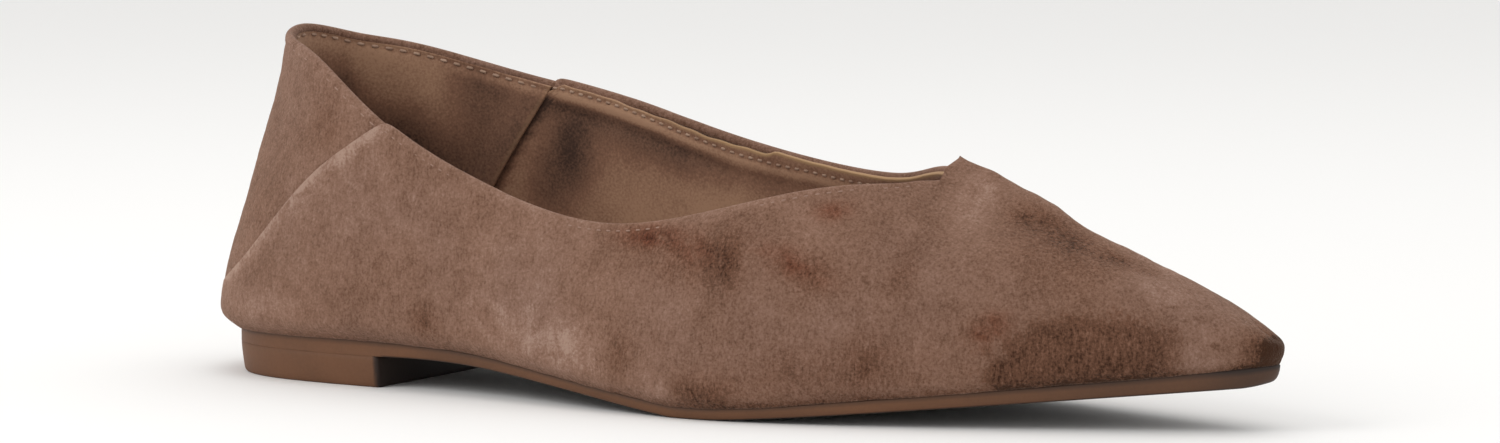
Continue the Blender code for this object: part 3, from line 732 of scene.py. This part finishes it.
# reddish marks where the dye shows between the fibres: side, x, z, length, height, tilt, strength
RUST = [
    (-1, 129.7, 38.6, 7.0, 2.2, 0, 0.9),
    (-1, 143.0, 36.0, 7.0, 2.6, -10, 0.4),
    (-1, 166.0, 34.4, 8.0, 2.4, -20, 0.55),
    (-1, 171.0, 45.5, 3.4, 1.8, 0, 0.65),
    (-1, 208.5, 22.0, 3.6, 2.4, 25, 0.6),
    (1, 120.0, 36.0, 6.0, 2.4, 10, 0.4),
]
# places where the nap was brushed the other way, dark with a ragged edge; the two at the toe tip, x 265.5,
# are painted shade there: side, x, z, length, height, tilt
BRUSHED = [
    (-1, 228.0, 15.8, 20.5, 9.6, 5), (-1, 213.5, 12.0, 6.0, 5.0, 0), (-1, 265.5, 16.0, 4.4, 9.0, 0),
    (1, 265.5, 16.0, 4.4, 9.0, 0),
]
# soft waves of the suede over the stuff beneath: direction x, y, z, wave length, height
WAVES = [
    (1.0, 0.3, 0.4, 41.0, 0.14),
    (0.5, -0.6, 1.0, 27.0, 0.10),
    (-0.7, 0.5, 1.0, 17.0, 0.06),
    (1.0, 0.8, -0.6, 11.0, 0.035),
    (0.9, -0.4, 0.7, 5.3, 0.03),
    (-0.6, 0.7, 0.9, 3.9, 0.025),
    (0.8, 0.9, 0.3, 3.1, 0.025),
    (0.3, -0.8, 1.0, 2.6, 0.02),
]


def ellipse(p, side, on, x, z, length, height, tilt):
    """Bell exp(-r^2) of a tilted ellipse in the side view, on one side of the shoe."""
    c, s = math.cos(math.radians(tilt)), math.sin(math.radians(tilt))
    dx, dz = p[..., 0] - x, p[..., 2] - z
    return bell((dx * c + dz * s) / length) * bell((dz * c - dx * s) / height) * (side == on)


def suede_tone(p, side):
    """Sum of the soft patches, the largest of the brushed places, and the sum of the reddish marks."""
    tone, rust = [sum(row[-1] * ellipse(p, side, *row[:-1]) for row in table) for table in (PATCHES, RUST)]
    brushed = np.max([ellipse(p, side, *row) for row in BRUSHED], axis=0)
    return {"tone": tone, "brushed": brushed, "rust": rust}


def suede_waves(p):
    """Sum of sine waves through space, read on the wall."""
    height = np.zeros(p.shape[:-1])
    for i, (x, y, z, length, amount) in enumerate(WAVES):
        d = np.array([x, y, z]) / math.hypot(x, y, z)
        height += amount * np.sin(p @ d * 2.0 * math.pi / length + 1.7 * i)
    return height


def seam_height(k, side):
    """Height share of the lap seam at station k."""
    return SEAM_BACK + (1.0 - SEAM_BACK) * (np.maximum(k, 0.0) / seam_home(side)) ** (1.0 / SEAM_BOW)


# Suede: split leather with a brushed nap, so it is matt with a soft glow at grazing angles; the nap lies
# this way and that, which mottles it from hand-wide patches down to single tufts of fibre
suede = new_material("brushed_suede")
place = add_node(suede, "TexCoord", out="Object")
# tone attribute: tone patches and wear, with painted shade on the toe tip, in creases and along the foot, and
# painted highlight on ridges and edges
tone = add_node(suede, "Attribute", out="Fac", attribute_name="tone")
drift = add_node(suede, "TexNoise", {"Vector": place, "Scale": 1 / 0.02, "Detail": 5.0, "Roughness": 0.62,
                                     "Distortion": 1.0})
blotch = add_node(suede, "TexNoise", {"Vector": place, "Scale": 1 / 0.0045, "Detail": 6.0, "Roughness": 0.7,
                                      "Distortion": 0.7})
# strokes of the nap, about 0.7 mm wide and 2.8 mm long, lying mostly up and down
combed = add_node(suede, "Mapping", {"Vector": place, "Rotation": (0.0, 0.35, 0.0),
                                     "Scale": (1.0, 1.0, 0.25)})
stroke = add_node(suede, "TexNoise", {"Vector": combed, "Scale": 1 / 0.0007, "Detail": 3.0, "Roughness": 0.7,
                                      "Distortion": 0.4})
# fibre tufts are about 0.2 mm; drawn at 0.6 mm so that they show
tuft = add_node(suede, "TexNoise", {"Vector": place, "Scale": 1 / 0.0006, "Detail": 3.0, "Roughness": 0.75})
# the edge of a brushed place is broken up by the blotches and strokes
turned = add_node(suede, "Attribute", out="Fac", attribute_name="brushed")
for source in (blotch, stroke):
    turned = add_node(suede, "Math", {0: source, 1: 0.9, 2: turned}, operation="MULTIPLY_ADD")
turned = add_node(suede, "MapRange", {"Value": turned, "From Min": 1.18, "From Max": 1.48, "To Max": -0.8},
                  interpolation_type="SMOOTHSTEP")
ragged = add_node(suede, "Math", {0: blotch, 1: 4.0, 2: -1.0}, operation="MULTIPLY_ADD")
patch = add_node(suede, "Math", {0: tone, 1: ragged, 2: turned}, operation="MULTIPLY_ADD")
# in a dark patch the nap is roughed up, so its strokes stand out more
rough = add_node(suede, "MapRange", {"Value": patch, "From Min": 0.0, "From Max": -1.0})
fleck = add_node(suede, "Math", {0: stroke, 1: 1.3, 2: -0.65}, operation="MULTIPLY_ADD")
level = add_node(suede, "Math", {0: rough, 1: fleck, 2: patch}, operation="MULTIPLY_ADD")
for source, weight in ((drift, 1.3), (blotch, 1.2), (stroke, 1.35), (tuft, 2.8)):
    level = add_node(suede, "Math", {0: source, 1: weight, 2: level}, operation="MULTIPLY_ADD")
share = add_node(suede, "MapRange", {"Value": level, "From Min": 2.025, "From Max": 4.625})
tint = add_node(suede, "ValToRGB", {"Fac": share})
stops = tint.node.color_ramp.elements
stops[0].color = linear("#3d281c")
stops[1].color = linear("#a58878")
for at, code in ((0.1, "#563c2e"), (0.28, "#694b3b"), (0.5, "#80604f"), (0.72, "#8f6f5f")):
    stops.new(at).color = linear(code)
# here and there the dye has turned cooler
cooler = add_node(suede, "TexNoise", {"Vector": place, "Scale": 1 / 0.035, "Detail": 2.0})
cooler = add_node(suede, "MapRange", {"Value": cooler, "From Min": 0.42, "From Max": 0.65, "To Max": 0.35})
# in a dark patch and a reddish mark the dye shows between the fibres
rust = add_node(suede, "Attribute", out="Fac", attribute_name="rust")
rust = add_node(suede, "Math", {0: rust, 1: ragged}, operation="MULTIPLY", use_clamp=True)
for amount, code in ((cooler, "#eef3fc"), (rough, "#fff5ee"), (rust, "#ffdfd6")):
    tint = add_node(suede, "Mix", {0: amount, 6: tint, 7: linear(code)}, out=2, data_type="RGBA",
                    blend_type="MULTIPLY")
nap = add_node(suede, "Math", {0: stroke, 1: 0.8, 2: tuft}, operation="MULTIPLY_ADD")
fuzz = add_node(suede, "Bump", {"Height": nap, "Strength": 0.8, "Distance": 0.0005})
set_inputs(suede.node_tree.nodes["Principled BSDF"], {
    "Base Color": tint, "Normal": fuzz, "Roughness": 0.95, "IOR": 1.45, "Specular IOR Level": 0.1,
    "Sheen Weight": 0.3, "Sheen Roughness": 0.45, "Sheen Tint": linear("#d9bfae"),
})


def back_panel():
    """Grid of the back panel from its lateral end round the heel to its medial end: from a margin under the
    lap seam up to the folded topline."""
    t, side = both_sides(np.linspace(1.0, 0.0, 130))
    k = (seam_home(side) + 0.22) * t
    tuck = 1.6 * ease((k - seam_home(side) + 0.02) / 0.2)
    top = 1.0 - tuck / climb(k, side)
    margin = np.minimum(seam_height(k, side), 1.0) - 0.08
    grids = []
    for close, count in ((FOLD, 60), (FOLD_INSIDE, 14)):
        v = rows_under(k, top, side, close, count)
        v = margin + (top - margin) * v / top
        v, kk, ss = np.broadcast_arrays(v, k, side)
        p, n = wall_and_normal(kk, v, ss)
        from_top = (top - v) * climb(kk, ss)
        edge = np.minimum(np.minimum(from_top, (v - margin) * 60.0), (1.0 - t)[None] * 95.0)
        roll = 1.0 - ease((from_top - 1.3) / 1.4)
        heel_part = ease((3.0 - kk) / 2.0)
        far = 1.65 + (0.75 + 0.2 * heel_part) * roll
        near = LAP - 0.3 * heel_part * roll - suede_waves(p) * ease(edge / 3.0)
        outer, inner = sheet(p, n, near, far, edge, (far - near) / 2.0)
        looks = suede_tone(p, ss)
        # paler along the topline's fold: partly wear, partly painted highlight where the edge catches the
        # light
        looks["tone"] += 0.3 * bell(from_top / 2.0)
        grids.append((outer, inner, looks))
    return grids


def add_panel(name, grids):
    """Piece from the outer face of the first grid and the inner face of the second, coarser one."""
    (outer, _, looks), (_, inner, _) = grids
    inside = grid_faces(*inner.shape[:2], first=outer[..., 0].size)
    faces = np.concatenate([grid_faces(*outer.shape[:2]), inside])
    points = np.concatenate([outer.reshape(-1, 3), inner.reshape(-1, 3)])
    unseen = np.zeros(inner[..., 0].size)
    values = {label: np.concatenate([look.ravel(), unseen]) for label, look in looks.items()}
    return add_piece(name, points, faces, suede, values)


back = add_panel("back_panel", back_panel())
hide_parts("upper")

# Vamp and side panel
# One cut of suede pulled over the last from the medial lap seam round the toe to the lateral one, and below
# the back panel round the heel. It is folded over at the topline and lasted under the foot.
CORNER_SOFT = 0.025     # how softly the lap seam turns into the topline
FOOT_LAP = 0.5          # how far the nap hangs over the sole's upper edge
FOOT_BAND = 0.05        # height share of the band over the sole that hangs down and is darkened: painted shade with some dirt
# creases: x, y, z at the start and at the end, width, depth (a trough is positive), tone, which is painted
# shade below zero and painted highlight above
CREASES = [
    (208.0, -5.4, 43.8, 219.0, -5.6, 39.3, 4.2, 0.5, -0.55),
    (226.0, -5.0, 36.8, 236.0, -2.8, 33.4, 2.8, 0.4, -0.6),
    (206.0, 1.6, 46.8, 240.0, 1.2, 33.2, 2.2, -0.1, 0.4),
    (198.0, 1.0, 51.5, 210.0, 1.0, 45.8, 6.5, -1.8, 0.1),      # fullness over the ridge
    (190.0, -24.0, 36.0, 202.0, -9.0, 45.0, 6.0, 0.3, 0.0),
    (100.0, -36.0, 24.0, 128.0, -40.0, 17.0, 8.0, 0.3, 0.0),
    (146.0, -37.0, 33.0, 158.0, -38.0, 27.0, 6.0, 0.25, 0.0),
    (110.0, 32.0, 30.0, 136.0, 34.0, 22.0, 8.0, 0.3, 0.0),
]


def panel_top(k, side):
    """Height share of the panel's upper edge: the lap seam, then the topline, with the corner softened."""
    past = np.minimum(seam_height(k, side), 1.4) - 1.0
    return np.where(past > 0.39, 1.0, 1.0 + (past - np.sqrt(past * past + CORNER_SOFT ** 2)) / 2.0)


def crease_relief(p):
    """Height of the creases and their painted shade and highlight: the sum of a bell over the distance from
    each crease's line.
    """
    height = np.zeros(p.shape[:-1])
    tone = np.zeros(p.shape[:-1])
    for x0, y0, z0, x1, y1, z1, width, depth, amount in CREASES:
        a = np.array([x0, y0, z0])
        d = np.array([x1, y1, z1]) - a
        t = np.clip((p - a) @ d / (d @ d), 0.0, 1.0)
        off = np.linalg.norm(p - a - t[..., None] * d, axis=-1)
        near = bell(off / width)
        height -= depth * near
        tone += amount * near
    return height, tone


def vamp_panel():
    """Grid of the panel from the heel's back along the lateral side to the toe and back by the medial one."""
    behind = [(SEAM_TOP - 0.3, 70), (SEAM_TOP_MEDIAL + 0.3, 30)]
    throat = [(PEAK - 1.0, 130), (PEAK - 0.2, 24), (PEAK, 22)]
    k, side = both_sides(stations(*behind, *throat, (13.5, 70), (TIP, 44)))
    top = panel_top(k, side) - slit_drop(k, side) / climb(k, side)
    grids = []
    for close, count in ((FOLD, 70), (FOLD_INSIDE, 12)):
        v = rows_under(k, top, side, close, count)
        v, kk, ss = np.broadcast_arrays(v, k, side)
        p, n = wall_and_normal(kk, v, ss)
        p[..., 2] += edge_lift(kk, v, ss) - FOOT_LAP * np.clip(1.0 - v / FOOT_BAND, 0.0, 1.0)
        from_top = (top - v) * climb(kk, ss, np.minimum(top, 1.0))
        seam = kk < seam_home(ss) - 0.02
        from_top = np.where(seam, from_top * 0.72, from_top)
        from_top = np.where(kk < PEAK, from_top, np.linalg.norm(p - np.array(RIDGE[0]), axis=-1))
        edge = np.minimum(from_top, v * 150.0)
        at_seam = 1.0 - ease((kk - seam_home(ss) + 0.15) / 0.3)
        fold = 0.95 * (1.0 - ease((from_top - 1.3) / 1.6)) * (1.0 - at_seam)
        skived = at_seam * 0.52 * (1.0 - ease((from_top - 4.0) / 8.0))
        far = 1.2 + fold - skived
        crease, crease_painted_light = crease_relief(p)
        relief = np.maximum((suede_waves(p) + crease) * ease(edge / 3.0), -0.75)
        outer, inner = sheet(p, n, -relief, np.maximum(far, 0.4 - relief), edge, far / 2.0)
        # painted shade with some dirt along the foot, where the suede hangs over the sole; stronger towards
        # the front
        foot = (0.6 + 0.4 * ease((kk - 6.6) / 1.0)) * bell(v / FOOT_BAND)
        # paler along the lap seam's edge and the topline: partly wear, partly painted highlight where the
        # edge catches the light
        lapped = 0.55 * bell(from_top / 1.8) + 0.3 * bell(from_top / 5.0)
        tone_and_painted_light = 0.3 * bell(from_top / 2.0) + at_seam * lapped
        looks = suede_tone(p, ss)
        looks["tone"] += crease_painted_light + tone_and_painted_light * (kk < PEAK) - 0.9 * foot
        grids.append((outer, inner, looks))
    return grids


vamp = add_panel("vamp_panel", vamp_panel())
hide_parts("upper")

# Topline stitches
# One row of pale beige thread through suede and lining, a stitch every 2.5 to 3.4 mm, just under the edge.
# Inside it lies on the lining; outside it has sunk into the nap.
STITCH_GRID = (9, 8)    # rings along a stitch, points in each
STITCH_PITCH = 2.5      # on the vamp panel
BACK_PITCH = 3.4        # on the back panel, which is sewn with longer stitches
# row: depth under the wall's outer face, stitch length, thread radius
STITCHES_INSIDE = (2.6, 1.4, 0.38)
STITCHES_OUTSIDE = (0.15, 1.2, 0.2)

# Sewing thread: spun polyester, matt, with a little variation from stitch to stitch
thread = new_material("spun_polyester_thread")
place = add_node(thread, "TexCoord", out="Object")
uneven = add_node(thread, "TexNoise", {"Vector": place, "Scale": 1 / 0.003, "Detail": 1.0})
tint = add_node(thread, "ValToRGB", {"Fac": uneven})
stops = tint.node.color_ramp.elements
stops[0].position = 0.3
stops[0].color = linear("#8a6d5a")
stops[1].position = 0.7
stops[1].color = linear("#a98c78")
sunk = add_node(thread, "Attribute", out="Fac", attribute_name="sunk")
napped = add_node(thread, "Mix", {0: sunk, 6: tint, 7: linear("#8f7061")}, out=2, data_type="RGBA")
set_inputs(thread.node_tree.nodes["Principled BSDF"], {"Base Color": napped, "Roughness": 0.8})


def stitch_row(depth, length, radius):
    """Short capsules along the topline, one to each pitch: radius times sqrt(1 - a^4) round an arched
    line, a from -1 to 1 along the stitch."""
    inside = depth > 1.0
    blocks = []
    for side in (-1.0, 1.0):
        walk = np.linspace(0.05, PEAK - 0.35, 2000)
        ss = np.full_like(walk, side)
        front = walk > seam_home(ss)
        under = np.where(front, np.interp(walk, RAW_EDGE[:, 0], RAW_EDGE[:, 2]), BACK_EDGE[1])
        under = under if inside else np.full_like(walk, OUTSIDE_ROW)
        v = 1.0 - (under + slit_drop(walk, ss)) / climb(walk, ss)
        p, n = wall_and_normal(walk, v, ss)
        p[:, 2] += np.where(front, edge_lift(walk, v, ss), 0.0)
        back = 0.0 if inside else LAP
        p = p - n * np.where(front, depth, depth - 0.2 + back)[:, None]
        run = np.concatenate([[0.0], np.cumsum(np.linalg.norm(np.diff(p, axis=0), axis=1))])
        pitch = np.where(front, STITCH_PITCH, BACK_PITCH)
        count = np.concatenate([[0.0], np.cumsum(np.diff(run) / pitch[1:])])
        at = np.interp(np.arange(0.5, count[-1]), count, run)
        longer = np.interp(at, run, pitch / STITCH_PITCH)[:, None, None, None]
        slope = np.gradient(p, run, axis=0)
        read = [[np.interp(at, run, column) for column in rows.T] for rows in (p, slope, n)]
        centre, way, up = np.swapaxes(read, 1, 2)[:, :, None, None]
        across = np.cross(way, up)
        a = np.linspace(-1.0, 1.0, STITCH_GRID[0])[None, :, None, None]
        b = np.linspace(0.0, 2.0 * math.pi, STITCH_GRID[1], endpoint=False)[None, None, :, None]
        r = radius * np.sqrt(np.maximum(1.0 - a ** 4, 0.0))
        arch = 0.25 * radius * a * a * (1.0 if inside else -1.0)
        line = centre + way * a * longer * length / 2.0 + up * arch
        blocks.append(line + (across * np.cos(b) + up * np.sin(b)) * r)
    return np.concatenate(blocks)


rows_in = stitch_row(*STITCHES_INSIDE)
rows_out = stitch_row(*STITCHES_OUTSIDE)
stitch_blocks = np.concatenate([rows_in, rows_out])
stitch_size = STITCH_GRID[0] * STITCH_GRID[1]
sunk = np.repeat([0.0, 0.75], [len(rows_in) * stitch_size, len(rows_out) * stitch_size])
starts = np.arange(len(stitch_blocks)) * stitch_size
faces = (grid_faces(*STITCH_GRID, around=True)[None] + starts[:, None, None]).reshape(-1, 4)
add_piece("topline_stitches", stitch_blocks, faces, thread, {"sunk": sunk})

# Stage
# A plain pale floor and soft studio light from the left and above. The camera has a long lens and stands at
# the photograph's angle.
floor_mesh = bpy.data.meshes.new("floor")
floor_mesh.from_pydata([(-6, -6, 0), (6, -6, 0), (6, 6, 0), (-6, 6, 0)], [], [(0, 1, 2, 3)])
floor = add_object("floor", floor_mesh)
paper = new_material("matt_white_floor")
set_inputs(paper.node_tree.nodes["Principled BSDF"], {
    "Base Color": linear("#f7f6f4"), "Roughness": 0.9, "Specular IOR Level": 0.1,
})
floor_mesh.materials.append(paper)

world = bpy.data.worlds.new("studio")
world.use_nodes = True
set_inputs(world.node_tree.nodes["Background"], {"Color": (1.0, 1.0, 1.0, 1.0), "Strength": 0.86})
bpy.context.scene.world = world
bpy.context.scene.view_settings.view_transform = "Standard"
# lamp: place in metres, size, power
LAMPS = {
    "key": ((-0.75, -1.05, 0.95), 0.8, 6.0),
    "overhead": ((0.05, 0.1, 1.3), 1.2, 3.0),
}
LAMPS_TO = (0.0, 0.0, 0.03)


def aim(obj, place, target):
    """Puts a lamp or the camera at a place and turns it to a target."""
    obj.location = place
    obj.rotation_euler = (Vector(target) - Vector(place)).to_track_quat("-Z", "Y").to_euler()


for name, (spot, size, power) in LAMPS.items():
    lamp = bpy.data.lights.new(name, "AREA")
    lamp.size = size
    lamp.energy = power
    aim(add_object(name, lamp), spot, LAMPS_TO)

CAMERA_AT = (0.5104, -0.9042, 0.1333)
CAMERA_TO = (0.0066, 0.0, 0.0398)
lens = bpy.data.cameras.new("camera")
lens.lens = 111.5
lens.sensor_width = 36.0
camera = add_object("camera", lens)
aim(camera, CAMERA_AT, CAMERA_TO)
bpy.context.scene.camera = camera
